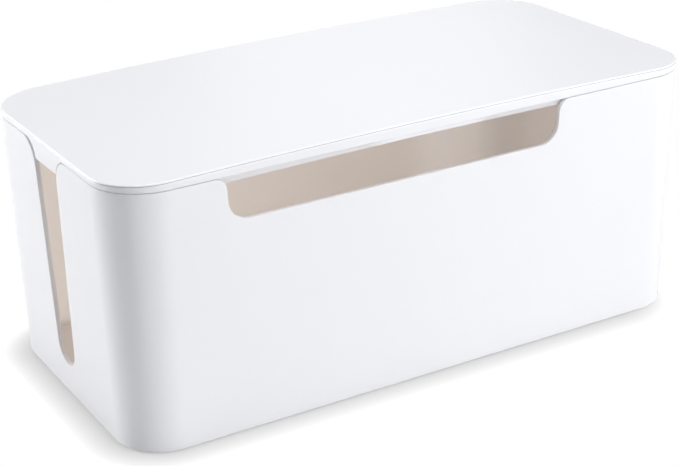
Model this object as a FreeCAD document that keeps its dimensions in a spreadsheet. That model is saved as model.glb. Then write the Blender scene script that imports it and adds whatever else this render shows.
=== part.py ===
"""A cable management box: a moulded open-topped box, a lid that lifts off it, and four rubber feet.

Sizes are in millimetres. Z points up and X runs along the box. The origin is on the table under
the middle of the box. The long wall at -Y holds the window, and both end walls hold a slot.
"""
import FreeCAD, Part
import math
import os

import Sketcher

START, END, CENTRE = range(1, 4)      # the points of a line or an arc, as sketch constraints number them
ORIGIN, UPRIGHT_AXIS = range(-1, -3, -1)        # a sketch's own origin point and its upright axis
TOUCHING = 1e-4                       # two places closer than this are one place

SIZES = {
    # The moulded box, measured at its rim
    "box_length": 400,
    "box_width": 196,
    "rim_height": 160.8,
    "corner_radius": 33,
    "lean_share": 0.019,              # draft: how far a wall leans out for each unit of its height
    "wall": 3,
    "floor_thickness": 3,
    "base_round": 1.2,                # outside, where the walls meet the underside
    "floor_round": 5,                 # inside, where the walls meet the floor
    # The long window in the front wall, open at the rim
    "window_length": 224.8,           # between the top ends of its straight sides
    "window_offset": 20.4,            # how far its middle lies from the box's middle, to the left
    "window_depth": 26.8,
    "window_lean_share": 0.06,        # how far its sides lean out for each unit of their height
    "window_corner": 12.5,
    "window_rim_round": 8,            # where the rim turns down into the window
    # The slot in each end wall, open at the rim
    "slot_width": 33,                 # between the top ends of its straight sides
    "slot_offset": 2.5,               # how far its middle lies from the box's middle, to the back
    "slot_foot_radius": 12.5,
    "slot_foot_height": 21,
    "slot_rim_round": 16,
    # The lid, whose depths are measured down from its arched top
    "lid_edge": 4.6,                  # how far its two ends stand above the rim
    "lid_plate": 2.4,
    "lid_arch": 3,                    # how far its middle stands above its two ends
    "lid_round": 0.8,
    "lip_gap": 0.5,
    "lip_thickness": 2,
    "lip_depth": 11,
    "tab_depth": 15.6,                # the tab at each end, which closes the mouth of the slot
    "tab_recess": 0.8,
    "tab_gap": 0.5,
    "rib_thickness": 1.6,
    "rib_height": 3,
    # The feet, which sit in round seats in the underside
    "foot_radius": 7,
    "foot_stand": 0.8,
    "foot_chamfer": 0.5,
    "foot_inset": 30,                 # from the sides of the underside to a foot's middle
    "seat_depth": 1,
    "seat_gap": 0.3,
    # How far a cut runs on past what it cuts
    "overrun": 5,
}
LONG_RIB_SHARES = (-0.34, 0.34)       # of half the box's width
CROSS_RIB_SHARES = (-0.6, -0.2, 0.2, 0.6)       # of half the box's length

MOULDING_HEIGHT = "(Sizes.rim_height - Sizes.foot_stand)"
BASE_INSET = f"({MOULDING_HEIGHT} * Sizes.lean_share)"
CAVITY_FLOOR = "(Sizes.foot_stand + Sizes.floor_thickness)"
CAVITY_DEPTH = f"(Sizes.rim_height - {CAVITY_FLOOR})"
FLOOR_INSET = f"(Sizes.wall + {CAVITY_DEPTH} * Sizes.lean_share)"
WINDOW_LEAN = "atan(Sizes.window_lean_share)"
WINDOW_ROUNDS = f"((Sizes.window_rim_round + Sizes.window_corner) * (1 - sin({WINDOW_LEAN})))"
WINDOW_SPREAD = f"(Sizes.window_lean_share * (Sizes.window_depth - {WINDOW_ROUNDS}))"
WINDOW_SILL = f"(Sizes.window_length - 2 * {WINDOW_SPREAD} - 2 * Sizes.window_corner * cos({WINDOW_LEAN}))"
LIP_INSET = "(Sizes.wall + Sizes.lip_gap)"
HOLLOW_INSET = f"({LIP_INSET} + Sizes.lip_thickness)"
BELOW_LID = "(Sizes.rim_height + Sizes.lid_edge - Sizes.tab_depth - Sizes.overrun)"
ARCH_RADIUS = "((pow(Sizes.box_length / 2; 2) + pow(Sizes.lid_arch; 2)) / (2 * Sizes.lid_arch))"
FOOT_X = f"(Sizes.box_length / 2 - {BASE_INSET} - Sizes.foot_inset)"
FOOT_Y = f"(Sizes.box_width / 2 - {BASE_INSET} - Sizes.foot_inset)"
FEET = {
    "foot_front_left": (-1, -1),
    "foot_front_right": (1, -1),
    "foot_back_right": (1, 1),
    "foot_back_left": (-1, 1),
}

doc = FreeCAD.newDocument("cable_box")
sheet = doc.addObject("Spreadsheet::Sheet", "Sizes")
for row, (name, number) in enumerate(SIZES.items(), start=1):
    sheet.set(f"A{row}", name)
    sheet.set(f"B{row}", str(number))
    sheet.setAlias(f"B{row}", name)
doc.recompute()


def size(formula):
    """The number that a formula in the sheet's names gives."""
    return float(sheet.evalExpression(formula))


def bind(thing, **formulas):
    """Ties properties of an object to formulas; a double underscore stands for a dot."""
    for path, formula in formulas.items():
        thing.setExpression(path.replace("__", "."), formula)


# Sketches

def constrain(sketch, kind, *places):
    return sketch.addConstraint(Sketcher.Constraint(kind, *places))


def measure(sketch, name, formula, kind, *places):
    """Adds a dimension that has a name and follows a formula."""
    index = constrain(sketch, kind, *places, size(formula))
    sketch.renameConstraint(index, name)
    sketch.setExpression(f"Constraints.{name}", formula)


def add_arc(sketch, x, y, radius, first_turn, last_turn):
    """Adds an arc about (x, y), between two angles given in quarter turns."""
    quarter = math.pi / 2
    circle = Part.Circle(FreeCAD.Vector(x, y, 0), FreeCAD.Vector(0, 0, 1), radius)
    return sketch.addGeometry(Part.ArcOfCircle(circle, first_turn * quarter, last_turn * quarter))


def add_line(sketch, first, last):
    return sketch.addGeometry(Part.LineSegment(FreeCAD.Vector(*first, 0), FreeCAD.Vector(*last, 0)))


def draw_outline(sketch, inset):
    """Draws the rim's plan outline, set in from the outer face by inset."""
    length = f"(Sizes.box_length - 2 * {inset})"
    width = f"(Sizes.box_width - 2 * {inset})"
    radius = f"(Sizes.corner_radius - {inset})"
    half_x, half_y, r = size(length) / 2, size(width) / 2, size(radius)
    arcs = []
    for turn, (x, y) in enumerate([(1, 1), (-1, 1), (-1, -1), (1, -1)]):
        arcs.append(add_arc(sketch, x * (half_x - r), y * (half_y - r), r, turn, turn + 1))
    sides = []
    for turn in range(4):
        first = sketch.getPoint(arcs[turn], END)
        last = sketch.getPoint(arcs[(turn + 1) % 4], START)
        sides.append(add_line(sketch, (first.x, first.y), (last.x, last.y)))
    for turn in range(4):
        constrain(sketch, "Tangent", arcs[turn], END, sides[turn], START)
        constrain(sketch, "Tangent", sides[turn], END, arcs[(turn + 1) % 4], START)
        constrain(sketch, "Vertical" if turn % 2 else "Horizontal", sides[turn])
    for arc in arcs[1:]:
        constrain(sketch, "Equal", arcs[0], arc)
    constrain(sketch, "Symmetric", arcs[0], CENTRE, arcs[2], CENTRE, ORIGIN, START)
    measure(sketch, "outline_length", length, "DistanceX", sides[1], START, sides[3], END)
    measure(sketch, "outline_width", width, "DistanceY", sides[2], START, sides[0], END)
    measure(sketch, "outline_radius", radius, "Radius", arcs[0])


def draw_mouth(sketch, rim, half_mouth, middle, rounding):
    """Draws the top of a cut that is open at the rim: two rounds and the lines that close it above.

    Returns the two rounds, left and right.
    """
    top = rim + size("Sizes.overrun")
    outer = half_mouth + rounding
    left = add_arc(sketch, middle - outer, rim - rounding, rounding, 0, 1)
    right = add_arc(sketch, middle + outer, rim - rounding, rounding, 1, 2)
    rise_left = add_line(sketch, (middle - outer, rim), (middle - outer, top))
    across = add_line(sketch, (middle - outer, top), (middle + outer, top))
    rise_right = add_line(sketch, (middle + outer, top), (middle + outer, rim))
    constrain(sketch, "Coincident", left, END, rise_left, START)
    constrain(sketch, "Coincident", rise_left, END, across, START)
    constrain(sketch, "Coincident", across, END, rise_right, START)
    constrain(sketch, "Coincident", rise_right, END, right, START)
    constrain(sketch, "Horizontal", across)
    constrain(sketch, "Vertical", left, CENTRE, left, END)
    constrain(sketch, "Vertical", right, CENTRE, right, START)
    constrain(sketch, "Vertical", rise_left)
    constrain(sketch, "Vertical", rise_right)
    constrain(sketch, "Equal", left, right)
    measure(sketch, "rise", "Sizes.overrun", "DistanceY", rise_left, START, rise_left, END)
    return left, right


def draw_window(sketch):
    """Draws the window: a flat-bottomed cut with leaning sides and round corners."""
    rim, rounding = size("Sizes.rim_height"), size("Sizes.window_rim_round")
    half, half_sill = size("Sizes.window_length") / 2, size(WINDOW_SILL) / 2
    corner, low = size("Sizes.window_corner"), rim - size("Sizes.window_depth")
    middle, foot = -size("Sizes.window_offset"), half_sill + corner
    left, right = draw_mouth(sketch, rim, half, middle, rounding)
    left_side = add_line(sketch, (middle - half, rim - rounding), (middle - foot, low + corner))
    left_corner = add_arc(sketch, middle - half_sill, low + corner, corner, 2, 3)
    sill = add_line(sketch, (middle - half_sill, low), (middle + half_sill, low))
    right_corner = add_arc(sketch, middle + half_sill, low + corner, corner, 3, 4)
    right_side = add_line(sketch, (middle + foot, low + corner), (middle + half, rim - rounding))
    constrain(sketch, "Tangent", left, START, left_side, START)
    constrain(sketch, "Tangent", left_side, END, left_corner, START)
    constrain(sketch, "Tangent", left_corner, END, sill, START)
    constrain(sketch, "Tangent", sill, END, right_corner, START)
    constrain(sketch, "Tangent", right_corner, END, right_side, START)
    constrain(sketch, "Tangent", right_side, END, right, END)
    constrain(sketch, "Horizontal", sill)
    constrain(sketch, "Horizontal", left, END, right, START)
    constrain(sketch, "Equal", left_corner, right_corner)
    measure(sketch, "rim_round", "Sizes.window_rim_round", "Radius", left)
    measure(sketch, "corner", "Sizes.window_corner", "Radius", left_corner)
    measure(sketch, "rim", "Sizes.rim_height", "DistanceY", ORIGIN, START, left, END)
    measure(sketch, "depth", "Sizes.window_depth", "DistanceY", sill, START, left, END)
    measure(sketch, "length", "Sizes.window_length", "DistanceX", left_side, START, right_side, END)
    measure(sketch, "sill", WINDOW_SILL, "DistanceX", sill, START, sill, END)
    measure(sketch, "place", "Sizes.window_offset + Sizes.window_length / 2",
            "DistanceX", left_side, START, ORIGIN, START)
    measure(sketch, "sill_place", f"Sizes.window_offset + {WINDOW_SILL} / 2",
            "DistanceX", sill, START, ORIGIN, START)


def draw_slot(sketch, gap):
    """Draws a slot with a round foot and leaning sides, made smaller all round by gap."""
    rim_height, rim_round = f"(Sizes.rim_height + {gap})", f"(Sizes.slot_rim_round + {gap})"
    foot_radius, mouth_width = f"(Sizes.slot_foot_radius - {gap})", f"(Sizes.slot_width - 2 * {gap})"
    foot_height = f"(Sizes.slot_foot_height + {gap})"
    rim, rounding, foot = size(rim_height), size(rim_round), size(foot_radius)
    half, low = size(mouth_width) / 2, size(foot_height)
    left, right = draw_mouth(sketch, rim, half, 0, rounding)
    left_side = add_line(sketch, (-half, rim - rounding), (-foot, low + foot))
    bottom = add_arc(sketch, 0, low + foot, foot, 2, 4)
    right_side = add_line(sketch, (foot, low + foot), (half, rim - rounding))
    constrain(sketch, "Tangent", left, START, left_side, START)
    constrain(sketch, "Tangent", left_side, END, bottom, START)
    constrain(sketch, "Tangent", bottom, END, right_side, START)
    constrain(sketch, "Tangent", right_side, END, right, END)
    constrain(sketch, "PointOnObject", bottom, CENTRE, UPRIGHT_AXIS)
    constrain(sketch, "Symmetric", left, CENTRE, right, CENTRE, UPRIGHT_AXIS)
    measure(sketch, "rim_round", rim_round, "Radius", left)
    measure(sketch, "foot", foot_radius, "Radius", bottom)
    measure(sketch, "rim", rim_height, "DistanceY", ORIGIN, START, left, END)
    measure(sketch, "foot_middle", f"{foot_height} + {foot_radius}", "DistanceY", ORIGIN, START, bottom, CENTRE)
    measure(sketch, "mouth", mouth_width, "DistanceX", left_side, START, right_side, END)


def draw_circle(sketch, name, radius, x=None, y=None):
    """Draws a circle at the origin, or at a place that two formulas give."""
    middle = FreeCAD.Vector(size(x) if x else 0, size(y) if y else 0, 0)
    circle = sketch.addGeometry(Part.Circle(middle, FreeCAD.Vector(0, 0, 1), size(radius)))
    measure(sketch, f"{name}_radius", radius, "Radius", circle)
    if x is None:
        constrain(sketch, "Coincident", circle, CENTRE, ORIGIN, START)
        return
    measure(sketch, f"{name}_x", x, "DistanceX", ORIGIN, START, circle, CENTRE)
    measure(sketch, f"{name}_y", y, "DistanceY", ORIGIN, START, circle, CENTRE)


# Features of a body

def new_body(name):
    body = doc.addObject("PartDesign::Body", name)
    body.Label = name
    return body


def new_sketch(body, name, plane_role, height=None):
    """Adds a sketch on one of a body's own origin planes, raised by height where that is given."""
    sketch = body.newObject("Sketcher::SketchObject", name)
    plane = next(item for item in body.Origin.OriginFeatures if item.Role == plane_role)
    sketch.AttachmentSupport = [(plane, "")]
    sketch.MapMode = "FlatFace"
    if height:
        bind(sketch, AttachmentOffset__Base__z=height)
    return sketch


def add_pad(body, name, sketch, length, reverse=False):
    pad = body.newObject("PartDesign::Pad", name)
    pad.Profile = (sketch, [""])
    pad.Reversed = reverse
    bind(pad, Length=length)
    doc.recompute()
    return pad


def add_cut(body, name, sketch, reverse=False, depth=None, both_ways=False):
    """Cuts a sketch into a body, to a depth or right through, and makes sure that it did cut."""
    before = body.Shape.Volume
    cut = body.newObject("PartDesign::Pocket", name)
    cut.Profile = (sketch, [""])
    cut.Reversed = reverse
    if both_ways:
        cut.SideType = "Symmetric"
    if depth:
        bind(cut, Length=depth)
    else:
        cut.Type = "ThroughAll"
    doc.recompute()
    if body.Shape.Volume >= before:
        raise RuntimeError(f"{name} cuts nothing")
    return cut


def between(kind, items, low, high):
    """The names of the faces or edges that reach from one height exactly to another."""
    names = []
    for number, item in enumerate(items, start=1):
        box = item.BoundBox
        if abs(box.ZMin - low) < TOUCHING and abs(box.ZMax - high) < TOUCHING:
            names.append(f"{kind}{number}")
    return names


def add_draft(body, name, base, low, high, held):
    """Leans the walls that stand between two heights outwards, so that they keep their place at held."""
    draft = body.newObject("PartDesign::Draft", name)
    draft.Base = (base, between("Face", base.Shape.Faces, low, high))
    draft.NeutralPlane = (base, between("Face", base.Shape.Faces, held, held))
    draft.Reversed = held == high
    bind(draft, Angle="atan(Sizes.lean_share)")
    doc.recompute()
    return draft


def add_fillet(body, name, base, edge_names, radius):
    fillet = body.newObject("PartDesign::Fillet", name)
    fillet.Base = (base, edge_names)
    bind(fillet, Radius=radius)
    doc.recompute()
    return fillet


# The box

def build_box():
    body = new_body("box_body")
    base, rim = size("Sizes.foot_stand"), size("Sizes.rim_height")
    outline = new_sketch(body, "rim_outline", "XY_Plane", "Sizes.rim_height")
    draw_outline(outline, "0")
    block = add_pad(body, "block", outline, MOULDING_HEIGHT, reverse=True)
    form = add_draft(body, "outer_lean", block, base, rim, held=rim)
    add_fillet(body, "base_edge", form, between("Edge", form.Shape.Edges, base, base), "Sizes.base_round")

    foot_of_walls = new_sketch(body, "cavity_outline", "XY_Plane", CAVITY_FLOOR)
    draw_outline(foot_of_walls, FLOOR_INSET)
    cavity = add_cut(body, "cavity", foot_of_walls, reverse=True, depth=CAVITY_DEPTH)
    floor = size(CAVITY_FLOOR)
    hollow = add_draft(body, "inner_lean", cavity, floor, rim, held=floor)
    add_fillet(body, "floor_edge", hollow, between("Edge", hollow.Shape.Edges, floor, floor), "Sizes.floor_round")

    window = new_sketch(body, "window_outline", "XZ_Plane")
    draw_window(window)
    add_cut(body, "window", window, reverse=True)
    slot = new_sketch(body, "slot_outline", "YZ_Plane")
    bind(slot, AttachmentOffset__Base__x="Sizes.slot_offset")
    draw_slot(slot, "0")
    add_cut(body, "slots", slot, both_ways=True)

    seats = new_sketch(body, "seat_outline", "XY_Plane", "Sizes.foot_stand")
    for name, (x, y) in FEET.items():
        draw_circle(seats, name, "Sizes.foot_radius + Sizes.seat_gap", f"{x} * {FOOT_X}", f"{y} * {FOOT_Y}")
    add_cut(body, "foot_seats", seats, reverse=True, depth="Sizes.seat_depth")
    return body


# The feet

def build_foot(name, x, y):
    """A round rubber foot, whose lower edge is chamfered."""
    body = new_body(name)
    disc = new_sketch(body, f"{name}_outline", "XY_Plane")
    draw_circle(disc, "disc", "Sizes.foot_radius")
    pad = add_pad(body, f"{name}_disc", disc, "Sizes.foot_stand + Sizes.seat_depth")
    edge = body.newObject("PartDesign::Chamfer", f"{name}_edge")
    edge.Base = (pad, between("Edge", pad.Shape.Edges, 0, 0))
    bind(edge, Size="Sizes.foot_chamfer")
    bind(body, Placement__Base__x=f"{x} * {FOOT_X}", Placement__Base__y=f"{y} * {FOOT_Y}")
    return body


# The lid

def prism(name, inset, base=BELOW_LID):
    """An upright block with the lid's plan outline, set in by inset, that ends above the lid."""
    sketch = doc.addObject("Sketcher::SketchObject", f"{name}_outline")
    bind(sketch, Placement__Base__z=base)
    draw_outline(sketch, inset)
    block = doc.addObject("Part::Extrusion", f"{name}_prism")
    block.Base = sketch
    block.DirMode = "Normal"
    block.Solid = True
    bind(block, LengthFwd="Sizes.tab_depth + Sizes.lid_arch + 2 * Sizes.overrun")
    return block


def arch(name, depth):
    """A cylinder along Y whose top is the lid's arched top, let down by depth."""
    cylinder = doc.addObject("Part::Cylinder", f"{name}_arch")
    cylinder.Placement = FreeCAD.Placement(FreeCAD.Vector(), FreeCAD.Rotation(FreeCAD.Vector(1, 0, 0), -90))
    bind(cylinder, Radius=ARCH_RADIUS, Height="Sizes.box_width + 2 * Sizes.overrun",
         Placement__Base__y="-Sizes.box_width / 2 - Sizes.overrun",
         Placement__Base__z=f"Sizes.rim_height + Sizes.lid_edge + Sizes.lid_arch - {ARCH_RADIUS} - {depth}")
    return cylinder


def combine(kind, name, first, second):
    result = doc.addObject(f"Part::{kind}", name)
    result.Base = first
    result.Tool = second
    return result


def join(name, pieces):
    result = doc.addObject("Part::MultiFuse", name)
    result.Shapes = pieces
    result.Refine = True
    return result


def slab(name, inset, top, bottom):
    """The layer of the lid between two depths, with its outline set in by inset."""
    upper = combine("Common", f"{name}_upper", prism(name, inset), arch(f"{name}_top", top))
    return combine("Cut", f"{name}_slab", upper, arch(f"{name}_bottom", bottom))


def build_tabs():
    """The two tabs, which follow the slots' mouths with a gap all round."""
    sketch = doc.addObject("Sketcher::SketchObject", "tab_outline")
    across = FreeCAD.Rotation(FreeCAD.Vector(0, 1, 0), FreeCAD.Vector(0, 0, 1), FreeCAD.Vector(1, 0, 0), "XYZ")
    sketch.Placement = FreeCAD.Placement(FreeCAD.Vector(), across)
    bind(sketch, Placement__Base__y="Sizes.slot_offset")
    draw_slot(sketch, "Sizes.tab_gap")
    bar = doc.addObject("Part::Extrusion", "tab_bar")
    bar.Base = sketch
    bar.DirMode = "Normal"
    bar.Solid = True
    bar.Symmetric = True
    bind(bar, LengthFwd="Sizes.box_length")
    return combine("Common", "tabs", slab("tab", "Sizes.tab_recess", "0", "Sizes.tab_depth"), bar)


def rib(name, length, width, x, y):
    """A box about (x, y), tall enough for the lid's layers to trim it."""
    bar = doc.addObject("Part::Box", name)
    bind(bar, Length=length, Width=width, Height="Sizes.lip_depth + Sizes.lid_arch",
         Placement__Base__x=f"{x} - {length} / 2", Placement__Base__y=f"{y} - {width} / 2",
         Placement__Base__z="Sizes.rim_height + Sizes.lid_edge - Sizes.lip_depth")
    return bar


def build_ribs():
    """The grid of ribs that stiffens the lid's plate, from inside the plate to the ribs' lower edge."""
    bars = []
    for number, share in enumerate(LONG_RIB_SHARES, start=1):
        bars.append(rib(f"long_rib_{number}", "Sizes.box_length", "Sizes.rib_thickness",
                        "0", f"{share} * Sizes.box_width / 2"))
    for number, share in enumerate(CROSS_RIB_SHARES, start=1):
        bars.append(rib(f"cross_rib_{number}", "Sizes.rib_thickness", "Sizes.box_width",
                        f"{share} * Sizes.box_length / 2", "0"))
    layer = slab("rib", f"({LIP_INSET} + Sizes.lip_thickness / 2)", "(Sizes.lid_plate / 2)",
                 "(Sizes.lid_plate + Sizes.rib_height)")
    return combine("Common", "ribs", layer, join("rib_bars", bars))


def top_edges(shape):
    """The numbers of the edges that bound the lid's arched top."""
    radius = size(ARCH_RADIUS)
    middle = size(f"Sizes.rim_height + Sizes.lid_edge + Sizes.lid_arch - {ARCH_RADIUS}")
    numbers = []
    for number, edge in enumerate(shape.Edges, start=1):
        places = [edge.valueAt(place) for place in (edge.FirstParameter, sum(edge.ParameterRange) / 2)]
        if all(abs(math.hypot(place.x, place.z - middle) - radius) < TOUCHING for place in places):
            numbers.append(number)
    return numbers


def build_lid():
    # The edge band stands flat on the rim, and only its top follows the arch
    edge = combine("Common", "edge_band", prism("edge", "0", base="Sizes.rim_height"), arch("edge", "0"))
    lip = slab("lip", LIP_INSET, "0", "Sizes.lip_depth")
    outer = join("outer_form_of_lid", [edge, lip, build_tabs()])
    below_plate = combine("Common", "hollow", prism("hollow", HOLLOW_INSET), arch("hollow", "Sizes.lid_plate"))
    tray = combine("Cut", "tray", outer, below_plate)
    ribbed = join("ribbed_tray", [tray, build_ribs()])
    doc.recompute()
    lid = doc.addObject("Part::Fillet", "lid")
    lid.Label = "lid"
    lid.Base = ribbed
    radius = size("Sizes.lid_round")
    lid.Edges = [(number, radius, radius) for number in top_edges(ribbed.Shape)]
    doc.recompute()
    return lid


parts = [build_box(), build_lid()]
parts += [build_foot(name, x, y) for name, (x, y) in FEET.items()]
doc.recompute()

for item in doc.Objects:
    if {"Invalid", "Error"} & set(item.State):
        raise RuntimeError(f"{item.Name} failed: {item.State}")
for part in parts:
    if part.Shape.isNull() or not part.Shape.isValid() or len(part.Shape.Solids) != 1:
        raise RuntimeError(f"{part.Label} is not one sound solid")

os.makedirs("parts", exist_ok=True)
for part in parts:
    part.Shape.exportStep(f"parts/{part.Label}.step")
    box = part.Shape.BoundBox
    print(f"{part.Label}: {part.Shape.Volume:.1f} mm3, X {box.XMin:.2f} to {box.XMax:.2f}, "
          f"Y {box.YMin:.2f} to {box.YMax:.2f}, Z {box.ZMin:.2f} to {box.ZMax:.2f}")
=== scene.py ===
"""A white cable management box: the moulded box, its arched lift-off lid, and four rubber feet.

Everything is in metres. Z points up, X runs along the box, and the front wall is at -Y.
"""

import math

import bmesh
import bpy
from mathutils import Matrix, Vector


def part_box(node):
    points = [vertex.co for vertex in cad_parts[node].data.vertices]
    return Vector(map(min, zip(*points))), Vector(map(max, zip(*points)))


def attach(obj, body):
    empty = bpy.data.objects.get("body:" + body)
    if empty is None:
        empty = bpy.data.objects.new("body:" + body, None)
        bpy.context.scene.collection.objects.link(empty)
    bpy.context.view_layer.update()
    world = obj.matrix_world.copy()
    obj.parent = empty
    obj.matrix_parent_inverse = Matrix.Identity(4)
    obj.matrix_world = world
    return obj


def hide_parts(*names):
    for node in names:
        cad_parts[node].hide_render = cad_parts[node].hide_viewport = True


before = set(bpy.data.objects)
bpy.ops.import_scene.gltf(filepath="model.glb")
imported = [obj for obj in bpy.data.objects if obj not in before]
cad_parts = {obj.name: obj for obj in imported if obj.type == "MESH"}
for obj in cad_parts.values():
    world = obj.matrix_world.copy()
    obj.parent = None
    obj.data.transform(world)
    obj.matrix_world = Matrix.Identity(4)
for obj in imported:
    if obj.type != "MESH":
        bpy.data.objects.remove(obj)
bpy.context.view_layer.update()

# The pieces' outer sizes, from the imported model
BOX_LOW, BOX_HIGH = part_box("box_body")
LID_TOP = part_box("lid")[1].z
HALF_LENGTH, HALF_WIDTH, RIM = BOX_HIGH
BASE = BOX_LOW.z
FEET = ("foot_front_left", "foot_front_right", "foot_back_right", "foot_back_left")

# The moulded box, whose walls lean in by a share of their depth below the rim
CORNER_RADIUS = 0.033
LEAN_SHARE = 0.019
WALL = 0.003
FLOOR_THICKNESS = 0.003
BASE_ROUND = 0.0012
FLOOR_ROUND = 0.005
STRAIGHT_X = HALF_LENGTH - CORNER_RADIUS
STRAIGHT_Y = HALF_WIDTH - CORNER_RADIUS

# The window in the front wall
WINDOW_MIDDLE = -0.0204
WINDOW_LENGTH = 0.2248
WINDOW_DEPTH = 0.0268
WINDOW_SLOPE_SHARE = 0.06
WINDOW_CORNER = 0.0125
WINDOW_RIM_ROUND = 0.008

# The slot in each end wall
SLOT_MIDDLE = 0.0025
SLOT_WIDTH = 0.033
SLOT_FOOT_RADIUS = 0.0125
SLOT_FOOT_HEIGHT = 0.021
SLOT_RIM_ROUND = 0.016

# The lid, with depths measured down from its arched top
LID_EDGE = 0.0046
LID_ARCH = LID_TOP - RIM - LID_EDGE
FLAT_TOP = RIM + LID_EDGE
LID_PLATE = 0.0024
LID_ROUND = 0.0009
LIP_INSET = 0.0035
LIP_THICKNESS = 0.002
LIP_DEPTH = 0.011
TAB_DEPTH = 0.0156
TAB_RECESS = 0.0008
TAB_GAP = 0.0005
RIB_THICKNESS = 0.0016
RIB_HEIGHT = 0.003
LONG_RIB_SHARES = (-0.34, 0.34)
CROSS_RIB_SHARES = (-0.6, -0.2, 0.2, 0.6)

# The lid's edge band: its fine groove, its seam above the rim, and how far it draws in
GROOVE_PLACE = 0.00105
GROOVE_WIDTH = 0.00028
GROOVE_DEPTH = 0.0006
SEAM_GAP = 0.00025
CROWN = 0.00012
CROWN_STEPS = 4

# The feet
SEAT_DEPTH = 0.001
SEAT_GAP = 0.0003
FOOT_ROUND = 0.0005

# How finely the curves are made
CORNER_STEPS = 32
ROUND_STEPS = 16
SMALL_STEPS = 5
CIRCLE_STEPS = 64
SLICE = 0.005
ROUND_PROFILE = 0.5

# How the sharp edges are found and rounded
EDGE_ROUND = 0.0004
EDGE_STEPS = 3
SHARP_ANGLE = math.radians(30)
FLAT_ANGLE = math.radians(0.1)
SLIVER = 0.00025
FLAT_FACE_WEIGHT = 100

# How far a cut runs past what it cuts, and how close counts as touching
OVERRUN = 0.004
TOUCHING = 1e-6

# Colours and roughness of the materials
WHITE = (0.90, 0.90, 0.905)
# A lighter copy of the white: painted light on the lid's lip and round the window, where shade
# falls
EDGE_PAINTED_LIGHT_WHITE = (0.96, 0.96, 0.965)
# A darker, warm copy of the white: painted warm shade inside the box and under the lid
INNER_PAINTED_SHADE_WHITE = (0.90, 0.852, 0.815)
# A lighter, warm copy of the white: painted light, with a warm tone, on the inner floor, which
# lies in shade
INNER_FLOOR_PAINTED_LIGHT_WHITE = (0.95, 0.93, 0.91)
# A grey for the fine groove round the lid: painted shade in the recess
GROOVE_PAINTED_SHADE_GREY = (0.45, 0.45, 0.455)
RUBBER_GREY = (0.6, 0.6, 0.58)
OUTER_ROUGHNESS = 0.38
INNER_ROUGHNESS = 0.45
GROOVE_ROUGHNESS = 0.6
RUBBER_ROUGHNESS = 0.8

# How far the colour, as a share, and the roughness drift over a piece
PLASTIC_DRIFT = (0.006, 0.03)
MATT_DRIFT = (0.03, 0.06)

# The patches in which they drift, and the grain
CLOUD = 0.07
CLOUD_DETAIL = 2
GRAIN = 0.0005
GRAIN_DETAIL = 1
GRAIN_DEPTH = 0.00001
RUBBER_GRAIN_DEPTH = 2 * GRAIN_DEPTH

# How far light gets through the plastic, and what colours it
LIGHT_REACH = 0.008
INNER_TINT = (1, 0.906, 0.84)
EDGE_TINT = (1, 1, 1)

# The floor, and the shadow on it, partly real and partly a painted shadow, which fades out round a
# rounded rectangle
FLOOR_SIZE = 6
FLOOR_COLOUR = (0.79, 0.79, 0.79)
FLOOR_ROUGHNESS = 0.9
PAINTED_SHADOW_COLOUR = (0.66, 0.655, 0.65)
SHADE_SHARE = 0.7
SHADE_MIDDLE = (-0.008, 0, 0)
SHADE_HALF = (0.159, 0.062, 0)
SHADE_START = 0.03
SHADE_REACH = 0.018
SHADE_END = SHADE_START + SHADE_REACH

# The lamps: place, aim, size, watts and colour
COOL = (0.98, 0.987, 1.018)
NEUTRAL = (0.99, 0.992, 1.01)
WARM = (1, 0.88, 0.80)
AIM = (0, 0, 0.10)
LAMPS = {
    "right_softbox": ((0.79, -1.30, 0.60), AIM, (0.9, 0.9), 14.9, COOL),
    "left_softbox": ((-1.25, 1.28, 0.48), AIM, (0.75, 0.75), 22.5, NEUTRAL),
    "top_softbox": ((0.2, -0.2, 3.84), AIM, (2.4, 2.4), 112, COOL),
    "back_softbox": ((0.95, 1.53, 0.72), AIM, (0.6, 0.6), 1.2, NEUTRAL),
    # The light that passes through the lid and through the left end
    "lid_light": ((0, 0, RIM - 2 * LIP_DEPTH), (0, 0, 0), (0.34, 0.15), 0.068, WARM),
    "end_light": ((-0.14, 0, RIM / 3), (-0.14, 0, 0), (0.09, 0.15), 0.009, WARM),
}
ROOM_COLOUR = (0.97, 0.97, 1.03)
ROOM_STRENGTH = 0.09

# The photograph's camera, with lengths in its frame in pixels and angles in degrees
FRAME_WIDTH, FRAME_HEIGHT = 679, 466
FOCAL_LENGTH = 1646.05
CENTRE_X, CENTRE_Y = 271.91, 233.07
YAW, PITCH, ROLL = 27.74, 23.12, 2.47
CAMERA_PLACE = (-0.4992, -0.8441, 0.4817)
SENSOR_WIDTH = 36


# Shapes

def bevel(bm, geometry, offset, steps, affect="EDGES"):
    """Rounds edges, or the corners of a flat outline."""
    bmesh.ops.bevel(bm, geom=geometry, offset=offset, offset_type="OFFSET", segments=steps,
                    profile=ROUND_PROFILE, affect=affect, material=-1)


def block(middle, size):
    bm = bmesh.new()
    bmesh.ops.create_cube(bm, size=1, matrix=Matrix.LocRotScale(middle, None, size))
    return bm


def rounded_block(inset, low, high):
    """A block with the rim's plan outline, set in by inset, between two heights."""
    size = Vector((2 * (HALF_LENGTH - inset), 2 * (HALF_WIDTH - inset), high - low))
    bm = block(Vector((0, 0, (low + high) / 2)), size)
    uprights = [edge for edge in bm.edges
                if abs(edge.verts[0].co.z - edge.verts[1].co.z) > TOUCHING]
    bevel(bm, uprights, CORNER_RADIUS - inset, CORNER_STEPS)
    return bm


def round_pad(middle, radius, depth):
    """A short upright cylinder."""
    bm = bmesh.new()
    bmesh.ops.create_cone(bm, cap_ends=True, segments=CIRCLE_STEPS, radius1=radius, radius2=radius,
                          depth=depth, matrix=Matrix.Translation(middle))
    return bm


def new_verts(result):
    return [item for item in result["geom"] if isinstance(item, bmesh.types.BMVert)]


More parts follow.
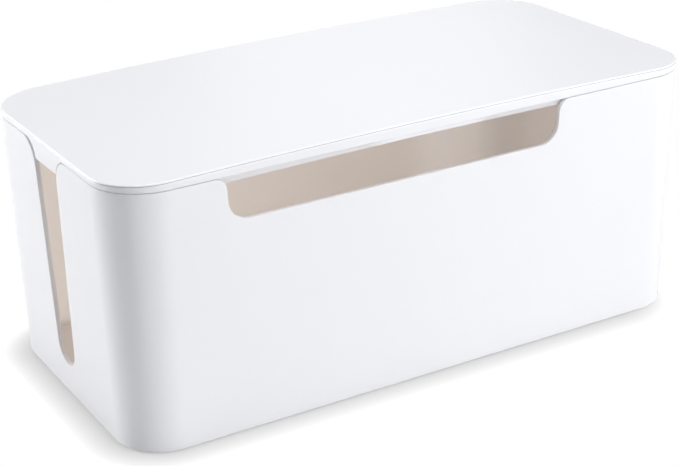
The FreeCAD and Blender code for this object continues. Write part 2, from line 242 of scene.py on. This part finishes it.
def prism(points, along_x, start, length):
    """Extrudes an outline of (across, up, round, angle) points along X, or else along Y."""
    bm = bmesh.new()
    corners = [bm.verts.new((start, across, up) if along_x else (across, start, up))
               for across, up, *_ in points]
    bm.faces.new(corners)
    for corner, (_, _, radius, angle) in zip(corners, points):
        if radius:
            bevel(bm, [corner], radius / math.tan(angle / 2), ROUND_STEPS, affect="VERTICES")
    result = bmesh.ops.extrude_face_region(bm, geom=bm.faces[:])
    shift = (length, 0, 0) if along_x else (0, length, 0)
    bmesh.ops.translate(bm, verts=new_verts(result), vec=shift)
    bmesh.ops.recalc_face_normals(bm, faces=bm.faces[:])
    return bm


def level_edges(bm, height):
    return [edge for edge in bm.edges
            if all(abs(vert.co.z - height) < TOUCHING for vert in edge.verts)]


def split(bm, place, direction):
    """Splits the faces that a plane crosses, and keeps both sides."""
    bmesh.ops.bisect_plane(bm, geom=bm.verts[:] + bm.edges[:] + bm.faces[:], dist=TOUCHING,
                           plane_co=place, plane_no=direction)


def split_level(bm, height):
    split(bm, (0, 0, height), (0, 0, 1))


# The plan outline, and the outlines that the walls are cut to

def outward(place):
    """The level direction that faces straight out of the outline at a place on it."""
    nearest = Vector((max(-STRAIGHT_X, min(STRAIGHT_X, place.x)),
                      max(-STRAIGHT_Y, min(STRAIGHT_Y, place.y)), place.z))
    return (place - nearest).normalized()


def depth_inside(place):
    """How far a place lies inside the rim's outline, up to the corners' radius."""
    x = max(0, abs(place.x) - STRAIGHT_X)
    y = max(0, abs(place.y) - STRAIGHT_Y)
    return CORNER_RADIUS - math.hypot(x, y)


def lean(bm):
    """Leans every wall inwards from the rim down."""
    for vert in bm.verts:
        vert.co -= outward(vert.co) * LEAN_SHARE * (RIM - vert.co.z)
    bm.normal_update()


def notch_outline(middle, side, slope, low, foot_round, rim, rim_round, top):
    """The outline of a notch that is open at the rim, as points for prism().

    side is half its width at the rim, and slope how much wider it gets for each unit of height.
    """
    blunt = math.radians(90) + math.atan(slope)
    reach = side + rim_round + OVERRUN
    half = [
        (side - slope * (rim - low), low, foot_round, blunt),
        (side, rim, rim_round, blunt),
        (reach, rim, 0, 0),
        (reach, top, 0, 0),
    ]
    right = [(middle + across, *rest) for across, *rest in half]
    left = [(middle - across, *rest) for across, *rest in reversed(half)]
    return right + left


def slot_outline(gap, low, foot_round, top):
    """The end slot's outline, made smaller all round by gap."""
    straight = RIM - SLOT_RIM_ROUND - SLOT_FOOT_HEIGHT - SLOT_FOOT_RADIUS
    slope = (SLOT_WIDTH / 2 - SLOT_FOOT_RADIUS) / straight
    side = SLOT_WIDTH / 2 + slope * SLOT_RIM_ROUND - gap
    return notch_outline(SLOT_MIDDLE, side, slope, low, foot_round,
                         RIM + gap, SLOT_RIM_ROUND + gap, top)


# Pieces

def opened(piece):
    """A working copy of a piece's mesh, which store() puts back."""
    bm = bmesh.new()
    bm.from_mesh(piece.data)
    return bm


def store(bm, mesh):
    bm.to_mesh(mesh)
    bm.free()


def make_object(name, bm):
    mesh = bpy.data.meshes.new(name)
    store(bm, mesh)
    piece = bpy.data.objects.new(name, mesh)
    bpy.context.scene.collection.objects.link(piece)
    return piece


def combine(piece, bm, operation):
    """Joins a closed shape to a piece, or cuts it out."""
    tool = make_object("tool", bm)
    modifier = piece.modifiers.new("combine", "BOOLEAN")
    modifier.operation = operation
    modifier.solver = "EXACT"
    modifier.object = tool
    depsgraph = bpy.context.evaluated_depsgraph_get()
    mesh = bpy.data.meshes.new_from_object(piece.evaluated_get(depsgraph))
    piece.modifiers.clear()
    piece.data = mesh
    bpy.data.objects.remove(tool)


def round_edges(piece):
    """Rounds every sharp outward edge a little, as a mould leaves it, once slivers are gone."""
    bm = opened(piece)
    bmesh.ops.remove_doubles(bm, verts=bm.verts[:], dist=SLIVER)
    bmesh.ops.dissolve_limit(bm, verts=bm.verts[:], edges=bm.edges[:], angle_limit=FLAT_ANGLE)
    sharp = [edge for edge in bm.edges if edge.is_convex and edge.calc_face_angle() > SHARP_ANGLE]
    bevel(bm, sharp, EDGE_ROUND, EDGE_STEPS)
    store(bm, piece.data)


def finish_piece(piece, body, node):
    """Smooths a piece, puts it on its body and lets it stand for its CAD node."""
    for polygon in piece.data.polygons:
        polygon.use_smooth = True
    modifier = piece.modifiers.new("flat_faces", "WEIGHTED_NORMAL")
    modifier.weight = FLAT_FACE_WEIGHT
    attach(piece, body)
    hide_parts(node)


# The box

def build_shell():
    """Leans and hollows a block, then cuts the window, the slots and the feet's seats."""
    outer = rounded_block(0, BASE, RIM)
    lean(outer)
    bevel(outer, level_edges(outer, BASE), BASE_ROUND, SMALL_STEPS)
    shell = make_object("box_shell", outer)

    floor = BASE + FLOOR_THICKNESS
    cavity = rounded_block(WALL, floor, RIM + OVERRUN)
    lean(cavity)
    bevel(cavity, level_edges(cavity, floor), FLOOR_ROUND, SMALL_STEPS)
    combine(shell, cavity, "DIFFERENCE")

    side = WINDOW_LENGTH / 2 + WINDOW_SLOPE_SHARE * WINDOW_RIM_ROUND
    window = notch_outline(WINDOW_MIDDLE, side, WINDOW_SLOPE_SHARE, RIM - WINDOW_DEPTH,
                           WINDOW_CORNER, RIM, WINDOW_RIM_ROUND, RIM + OVERRUN)
    through_front = prism(window, False, -HALF_WIDTH - OVERRUN, WALL + 3 * OVERRUN)
    combine(shell, through_front, "DIFFERENCE")
    slot = slot_outline(0, SLOT_FOOT_HEIGHT, SLOT_FOOT_RADIUS, RIM + OVERRUN)
    through_ends = prism(slot, True, -HALF_LENGTH - OVERRUN, 2 * (HALF_LENGTH + OVERRUN))
    combine(shell, through_ends, "DIFFERENCE")

    for foot in FEET:
        low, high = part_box(foot)
        middle = ((low.x + high.x) / 2, (low.y + high.y) / 2, BASE)
        seat = round_pad(middle, (high.x - low.x) / 2 + SEAT_GAP, 2 * SEAT_DEPTH)
        combine(shell, seat, "DIFFERENCE")
    round_edges(shell)
    return shell


# The lid

def arch_rise(x):
    """How far the arched top stands above the lid's two ends."""
    radius = (HALF_LENGTH ** 2 + LID_ARCH ** 2) / (2 * LID_ARCH)
    return LID_ARCH - radius + math.sqrt(radius ** 2 - x ** 2)


def is_band_foot(place):
    """Whether a place on the flat lid is at the band's lower outer edge, which stays level."""
    is_low = place.z < RIM + SEAM_GAP + 2 * EDGE_ROUND
    return is_low and depth_inside(place) < LIP_INSET - TOUCHING


def rib_grid():
    """The ribs under the plate, which run from lip to lip."""
    reach = LIP_INSET + LIP_THICKNESS / 2
    height = LID_PLATE / 2 + RIB_HEIGHT
    level = FLAT_TOP - LID_PLATE / 2 - height / 2
    long_size = Vector((2 * (HALF_LENGTH - reach), RIB_THICKNESS, height))
    cross_size = Vector((RIB_THICKNESS, 2 * (HALF_WIDTH - reach), height))
    bars = [(Vector((0, share * HALF_WIDTH, level)), long_size) for share in LONG_RIB_SHARES]
    bars += [(Vector((share * HALF_LENGTH, 0, level)), cross_size) for share in CROSS_RIB_SHARES]
    grid = make_object("lid_ribs", bmesh.new())
    for middle, size in bars:
        combine(grid, block(middle, size), "UNION")
    ribs = opened(grid)
    bpy.data.objects.remove(grid)
    return ribs


def press_groove(bm, height):
    """Presses a fine groove into the flat lid's side, all round."""
    low, high = height - GROOVE_WIDTH / 2, height + GROOVE_WIDTH / 2
    split_level(bm, low)
    split_level(bm, high)
    ring = [face for face in bm.faces
            if all(low - TOUCHING < vert.co.z < high + TOUCHING for vert in face.verts)
            and depth_inside(face.calc_center_median()) < WALL / 2]
    result = bmesh.ops.extrude_face_region(bm, geom=ring)
    for vert in new_verts(result):
        vert.co -= outward(vert.co) * GROOVE_DEPTH
    bmesh.ops.delete(bm, geom=ring, context="FACES")


def crown_band(bm):
    """Draws the lid's side in towards its top, in a shallow curve."""
    for step in range(1, CROWN_STEPS):
        split_level(bm, RIM + LID_EDGE * step / CROWN_STEPS)
    for vert in bm.verts:
        if vert.co.z > RIM and depth_inside(vert.co) < LIP_INSET:
            vert.co -= outward(vert.co) * CROWN * ((vert.co.z - RIM) / LID_EDGE) ** 2


def build_lid():
    """Makes the lid flat, cuts it into slices and arches all but its lower outer edge."""
    cover = rounded_block(0, RIM + SEAM_GAP, FLAT_TOP)
    bevel(cover, level_edges(cover, FLAT_TOP), LID_ROUND, EDGE_STEPS)
    lid = make_object("lid_cover", cover)
    lip = rounded_block(LIP_INSET, FLAT_TOP - LIP_DEPTH, FLAT_TOP - LID_PLATE / 2)
    combine(lid, lip, "UNION")

    tab = slot_outline(TAB_GAP, FLAT_TOP - TAB_DEPTH, 0, RIM + LID_EDGE / 2)
    tab_length = LIP_INSET + LIP_THICKNESS + OVERRUN - TAB_RECESS
    for start in (TAB_RECESS - HALF_LENGTH, HALF_LENGTH - TAB_RECESS - tab_length):
        combine(lid, prism(tab, True, start, tab_length), "UNION")

    hollow = rounded_block(LIP_INSET + LIP_THICKNESS, FLAT_TOP - TAB_DEPTH - OVERRUN,
                           FLAT_TOP - LID_PLATE)
    combine(lid, hollow, "DIFFERENCE")
    combine(lid, rib_grid(), "UNION")
    round_edges(lid)

    bm = opened(lid)
    press_groove(bm, FLAT_TOP - GROOVE_PLACE)
    crown_band(bm)
    count = math.floor(HALF_LENGTH / SLICE)
    for step in range(-count, count + 1):
        split(bm, (step * SLICE, 0, 0), (1, 0, 0))
    for vert in bm.verts:
        if not is_band_foot(vert.co):
            vert.co.z += arch_rise(vert.co.x)
    store(bm, lid.data)
    return lid


# The feet

def build_foot(node):
    low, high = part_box(node)
    foot = round_pad((low + high) / 2, (high.x - low.x) / 2, high.z - low.z)
    bevel(foot, level_edges(foot, low.z), FOOT_ROUND, SMALL_STEPS)
    return make_object(node.replace("foot", "rubber_foot"), foot)


# Which faces get which material

def wall_depth(place):
    """How far a place lies inside the leaning outer side of the box."""
    return depth_inside(place) - LEAN_SHARE * (RIM - place.z)


def is_inside_box(place):
    """Whether a face of the box lies on the inner side of its walls or floor."""
    is_between = BASE + FLOOR_THICKNESS / 2 < place.z < RIM - TOUCHING
    return is_between and wall_depth(place) > WALL / 2 + TOUCHING


def is_inner_floor(place):
    return is_inside_box(place) and place.z < BASE + FLOOR_THICKNESS + TOUCHING


def is_window_edge(place):
    """Whether a face of the box lies in the thickness of its wall, round the window."""
    is_high = RIM - place.z < WINDOW_DEPTH + EDGE_ROUND
    return is_high and place.y < 0 and EDGE_ROUND < wall_depth(place) < WALL - EDGE_ROUND


def is_lip(place):
    """Whether a face of the lid lies below the rim and inside the band, as its lip does."""
    return depth_inside(place) > LIP_INSET - TOUCHING and place.z < RIM


def is_groove(place):
    """Whether a face of the lid lies in the fine groove round its side."""
    height = FLAT_TOP + arch_rise(place.x) - GROOVE_PLACE
    return depth_inside(place) > GROOVE_DEPTH / 4 and abs(place.z - height) < GROOVE_WIDTH


def is_inside_lid(place):
    """Whether a face of the lid lies within its lip, and lower than the plate at the ends."""
    inner_depth = LIP_INSET + LIP_THICKNESS - TOUCHING
    return depth_inside(place) > inner_depth and place.z < FLAT_TOP - LID_PLATE / 2


def give_material(piece, material, test=None):
    """Gives a piece a material, all over or on the faces that a test picks by their middles."""
    index = len(piece.data.materials)
    piece.data.materials.append(material)
    for polygon in piece.data.polygons:
        if test is None or test(polygon.center):
            polygon.material_index = index


# Materials

def new_material(name, colour, roughness):
    material = bpy.data.materials.new(name)
    material.use_nodes = True
    shader = material.node_tree.nodes["Principled BSDF"]
    shader.inputs["Base Color"].default_value = (*colour, 1)
    shader.inputs["Roughness"].default_value = roughness
    return material


def add_noise(tree, size, detail):
    """A noise over the piece, whose patches are about one size across."""
    place = tree.nodes.new("ShaderNodeTexCoord")
    noise = tree.nodes.new("ShaderNodeTexNoise")
    noise.inputs["Scale"].default_value = 1 / size
    noise.inputs["Detail"].default_value = detail
    tree.links.new(place.outputs["Object"], noise.inputs["Vector"])
    return noise.outputs["Fac"]


def moulded(name, colour, roughness, drift=PLASTIC_DRIFT, grain_depth=GRAIN_DEPTH):
    """A finely grained surface whose colour and roughness drift a little over the piece."""
    material = new_material(name, colour, roughness)
    tree = material.node_tree
    shader = tree.nodes["Principled BSDF"]
    colour_share, roughness_change = drift
    cloud = add_noise(tree, CLOUD, CLOUD_DETAIL)
    tone = tree.nodes.new("ShaderNodeMix")
    tone.data_type = "RGBA"
    for end, change in (("A", 1 - colour_share), ("B", 1 + colour_share)):
        tone.inputs[end].default_value = (*[value * change for value in colour], 1)
    tree.links.new(cloud, tone.inputs["Factor"])
    tree.links.new(tone.outputs["Result"], shader.inputs["Base Color"])
    gloss = tree.nodes.new("ShaderNodeMapRange")
    gloss.inputs["To Min"].default_value = roughness - roughness_change
    gloss.inputs["To Max"].default_value = roughness + roughness_change
    tree.links.new(cloud, gloss.inputs["Value"])
    tree.links.new(gloss.outputs["Result"], shader.inputs["Roughness"])
    bump = tree.nodes.new("ShaderNodeBump")
    bump.inputs["Distance"].default_value = grain_depth
    tree.links.new(add_noise(tree, GRAIN, GRAIN_DETAIL), bump.inputs["Height"])
    tree.links.new(bump.outputs["Normal"], shader.inputs["Normal"])
    return material


def let_light_through(material, tint):
    """Lets light pass through the thin walls, as it does through white plastic."""
    shader = material.node_tree.nodes["Principled BSDF"]
    shader.inputs["Subsurface Weight"].default_value = 1
    shader.inputs["Subsurface Radius"].default_value = tint
    shader.inputs["Subsurface Scale"].default_value = LIGHT_REACH


# The floor, lights and camera

def vector_step(tree, source, operation, value=(0, 0, 0)):
    """Does one operation on the vector that comes out of a socket."""
    step = tree.nodes.new("ShaderNodeVectorMath")
    step.operation = operation
    step.inputs[1].default_value = value
    tree.links.new(source, step.inputs[0])
    return step.outputs["Value" if operation == "LENGTH" else "Vector"]


def fade(tree, distance, start):
    """A value that goes from start, in the shadow, to 1 where the shadow ends."""
    spread = tree.nodes.new("ShaderNodeMapRange")
    spread.inputs["From Min"].default_value = SHADE_START
    spread.inputs["From Max"].default_value = SHADE_END
    spread.inputs["To Min"].default_value = start
    tree.links.new(distance, spread.inputs["Value"])
    return spread.outputs["Result"]


def floor_material():
    """A pale floor that the camera sees as white, apart from the shadow close round the box, which
    mixes the real shadow with a painted one.
    """
    material = new_material("pale_floor", FLOOR_COLOUR, FLOOR_ROUGHNESS)
    tree = material.node_tree
    nodes, links = tree.nodes, tree.links
    place = nodes.new("ShaderNodeTexCoord")
    beyond = vector_step(tree, place.outputs["Object"], "SUBTRACT", SHADE_MIDDLE)
    beyond = vector_step(tree, beyond, "ABSOLUTE")
    beyond = vector_step(tree, beyond, "SUBTRACT", SHADE_HALF)
    beyond = vector_step(tree, beyond, "MAXIMUM")
    distance = vector_step(tree, beyond, "LENGTH")
    # The painted shadow: grey close round the box, fading to white
    tone = nodes.new("ShaderNodeMix")
    tone.data_type = "RGBA"
    tone.inputs["A"].default_value = (*PAINTED_SHADOW_COLOUR, 1)
    tone.inputs["B"].default_value = (1, 1, 1, 1)
    links.new(fade(tree, distance, 0), tone.inputs["Factor"])
    backdrop = nodes.new("ShaderNodeEmission")
    links.new(tone.outputs["Result"], backdrop.inputs["Color"])
    seen = nodes.new("ShaderNodeLightPath")
    share = nodes.new("ShaderNodeMath")
    share.operation = "MULTIPLY"
    links.new(fade(tree, distance, SHADE_SHARE), share.inputs[0])
    links.new(seen.outputs["Is Camera Ray"], share.inputs[1])
    mix = nodes.new("ShaderNodeMixShader")
    links.new(share.outputs[0], mix.inputs["Fac"])
    links.new(nodes["Principled BSDF"].outputs[0], mix.inputs[1])
    links.new(backdrop.outputs[0], mix.inputs[2])
    links.new(mix.outputs[0], nodes["Material Output"].inputs["Surface"])
    return material


def add_floor():
    bm = bmesh.new()
    bmesh.ops.create_grid(bm, x_segments=1, y_segments=1, size=FLOOR_SIZE)
    floor = make_object("floor", bm)
    floor.data.materials.append(floor_material())


def add_lamp(name, place, aim, size, watts, colour):
    """Adds a soft lamp that the camera doesn't see."""
    light = bpy.data.lights.new(name, "AREA")
    light.shape = "RECTANGLE"
    light.size, light.size_y = size
    light.energy = watts
    light.color = colour
    lamp = bpy.data.objects.new(name, light)
    lamp.location = place
    lamp.rotation_euler = (Vector(aim) - Vector(place)).to_track_quat("-Z", "Y").to_euler()
    lamp.visible_camera = False
    bpy.context.scene.collection.objects.link(lamp)


def add_world():
    """A faint room light, which the camera sees as white."""
    world = bpy.data.worlds.new("studio")
    world.use_nodes = True
    nodes, links = world.node_tree.nodes, world.node_tree.links
    room = nodes["Background"]
    room.inputs["Color"].default_value = (*ROOM_COLOUR, 1)
    room.inputs["Strength"].default_value = ROOM_STRENGTH
    white = nodes.new("ShaderNodeBackground")
    white.inputs["Color"].default_value = (1, 1, 1, 1)
    seen = nodes.new("ShaderNodeLightPath")
    mix = nodes.new("ShaderNodeMixShader")
    links.new(seen.outputs["Is Camera Ray"], mix.inputs["Fac"])
    links.new(room.outputs[0], mix.inputs[1])
    links.new(white.outputs[0], mix.inputs[2])
    links.new(mix.outputs[0], nodes["World Output"].inputs["Surface"])
    bpy.context.scene.world = world


def add_camera():
    """Puts the camera where the photograph's was, with the same view."""
    yaw, pitch, roll = (math.radians(angle) for angle in (YAW, PITCH, ROLL))
    data = bpy.data.cameras.new("camera")
    data.sensor_width = SENSOR_WIDTH
    data.lens = FOCAL_LENGTH * SENSOR_WIDTH / FRAME_WIDTH
    data.shift_x = (FRAME_WIDTH / 2 - CENTRE_X) / FRAME_WIDTH
    data.shift_y = (CENTRE_Y - FRAME_HEIGHT / 2) / FRAME_WIDTH
    camera = bpy.data.objects.new("camera", data)
    level = math.cos(pitch)
    forward = Vector((math.sin(yaw) * level, math.cos(yaw) * level, -math.sin(pitch)))
    right = Vector((math.cos(yaw), -math.sin(yaw), 0))
    down = forward.cross(right)
    rolled_right = math.cos(roll) * right + math.sin(roll) * down
    rolled_down = math.cos(roll) * down - math.sin(roll) * right
    turn = Matrix((rolled_right, -rolled_down, -forward)).transposed()
    camera.matrix_world = Matrix.Translation(CAMERA_PLACE) @ turn.to_4x4()
    bpy.context.scene.collection.objects.link(camera)
    bpy.context.scene.camera = camera


outer_plastic = moulded("outer_plastic", WHITE, OUTER_ROUGHNESS)
# The darker, warm copy of the white, which paints warm shade on the inner faces
inner_painted_shade_plastic = moulded("inner_painted_shade_plastic", INNER_PAINTED_SHADE_WHITE, INNER_ROUGHNESS)
let_light_through(inner_painted_shade_plastic, INNER_TINT)
# The lighter, warm copy of the white, which paints light on the shaded inner floor
inner_floor_painted_light_plastic = moulded("inner_floor_painted_light_plastic", INNER_FLOOR_PAINTED_LIGHT_WHITE, INNER_ROUGHNESS)
# The lighter copy of the white, which paints light on shaded edges
edge_painted_light_plastic = moulded("edge_painted_light_plastic", EDGE_PAINTED_LIGHT_WHITE, OUTER_ROUGHNESS)
let_light_through(edge_painted_light_plastic, EDGE_TINT)
# The grey that paints shade into the groove
groove_painted_shade_plastic = moulded("groove_painted_shade_plastic", GROOVE_PAINTED_SHADE_GREY, GROOVE_ROUGHNESS, MATT_DRIFT)
foot_rubber = moulded("foot_rubber", RUBBER_GREY, RUBBER_ROUGHNESS, MATT_DRIFT, RUBBER_GRAIN_DEPTH)

shell = build_shell()
give_material(shell, outer_plastic)
# Painted light: the window's cut edges get the lighter white
give_material(shell, edge_painted_light_plastic, is_window_edge)
# Painted warm shade on the box's inner walls
give_material(shell, inner_painted_shade_plastic, is_inside_box)
# Painted light: the inner floor gets the lighter, warm white
give_material(shell, inner_floor_painted_light_plastic, is_inner_floor)
finish_piece(shell, "box", "box_body")

lid = build_lid()
give_material(lid, outer_plastic)
# Painted light: the lip, which lies in shade under the band, gets the lighter white
give_material(lid, edge_painted_light_plastic, is_lip)
# Painted shade: the groove's faces get the grey
give_material(lid, groove_painted_shade_plastic, is_groove)
# Painted warm shade under the lid
give_material(lid, inner_painted_shade_plastic, is_inside_lid)
finish_piece(lid, "lid", "lid")

for node in FEET:
    foot = build_foot(node)
    give_material(foot, foot_rubber)
    finish_piece(foot, "box", node)

add_floor()
add_camera()
for name, settings in LAMPS.items():
    add_lamp(name, *settings)
add_world()
bpy.context.scene.view_settings.view_transform = "Standard"
